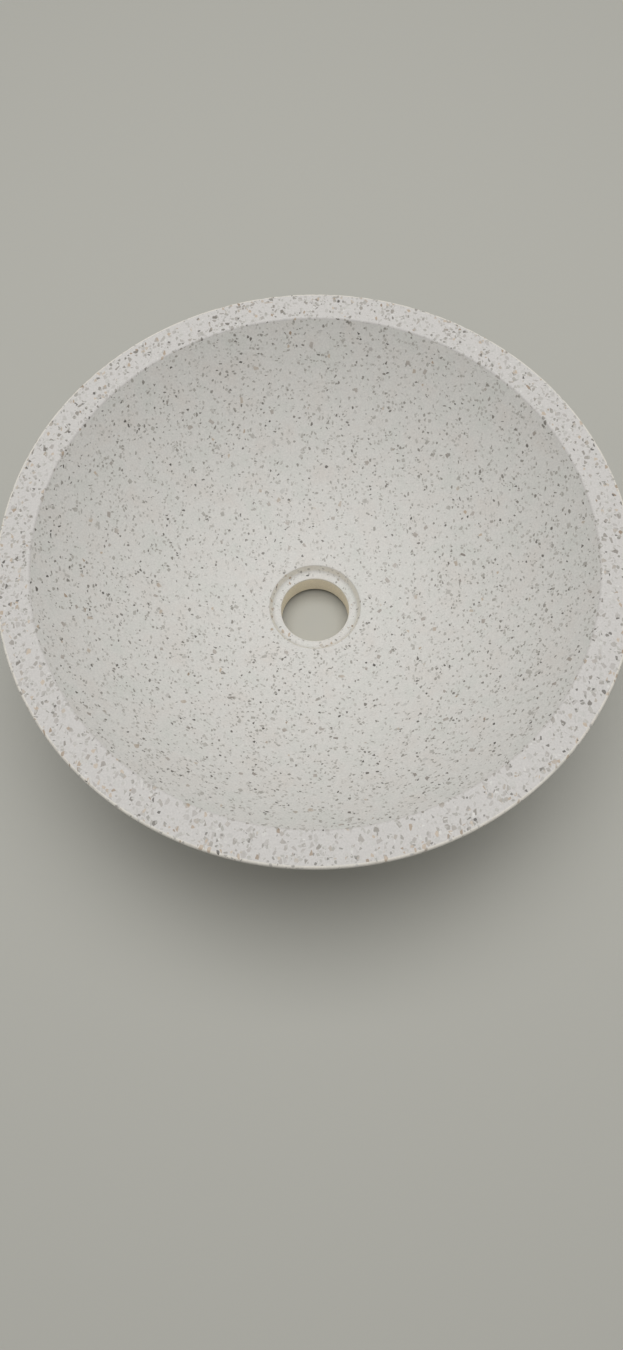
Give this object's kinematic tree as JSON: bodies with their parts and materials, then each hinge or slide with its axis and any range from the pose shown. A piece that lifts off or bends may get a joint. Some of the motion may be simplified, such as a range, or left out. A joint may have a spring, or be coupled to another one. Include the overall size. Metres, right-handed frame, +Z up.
{
  "type": "washbasin",
  "caption": "Round terrazzo vessel washbasin: a white cement bowl with a flat rim, a central drain hole in a rebate with a sloping wall, and coloured stone chips ground flush with its surface.",
  "frame": {"origin": "centre of the foot, on the plane that the basin stands on", "axes": "+Z up along the axis of the rim, the bowl and the drain hole"},
  "size_m": [0.3999, 0.4, 0.12],
  "materials": {
    "cement": "honed",
    "grey_stone": "honed",
    "taupe_stone": "honed",
    "tan_stone": "honed",
    "pale_stone": "honed",
    "dark_stone": "honed"
  },
  "bodies": {
    "root": {"basin_body": "cement", "stone_chips_grey": "grey_stone", "stone_chips_taupe": "taupe_stone", "stone_chips_tan": "tan_stone", "stone_chips_pale": "pale_stone", "stone_chips_dark": "dark_stone"}
  },
  "joints": []
}
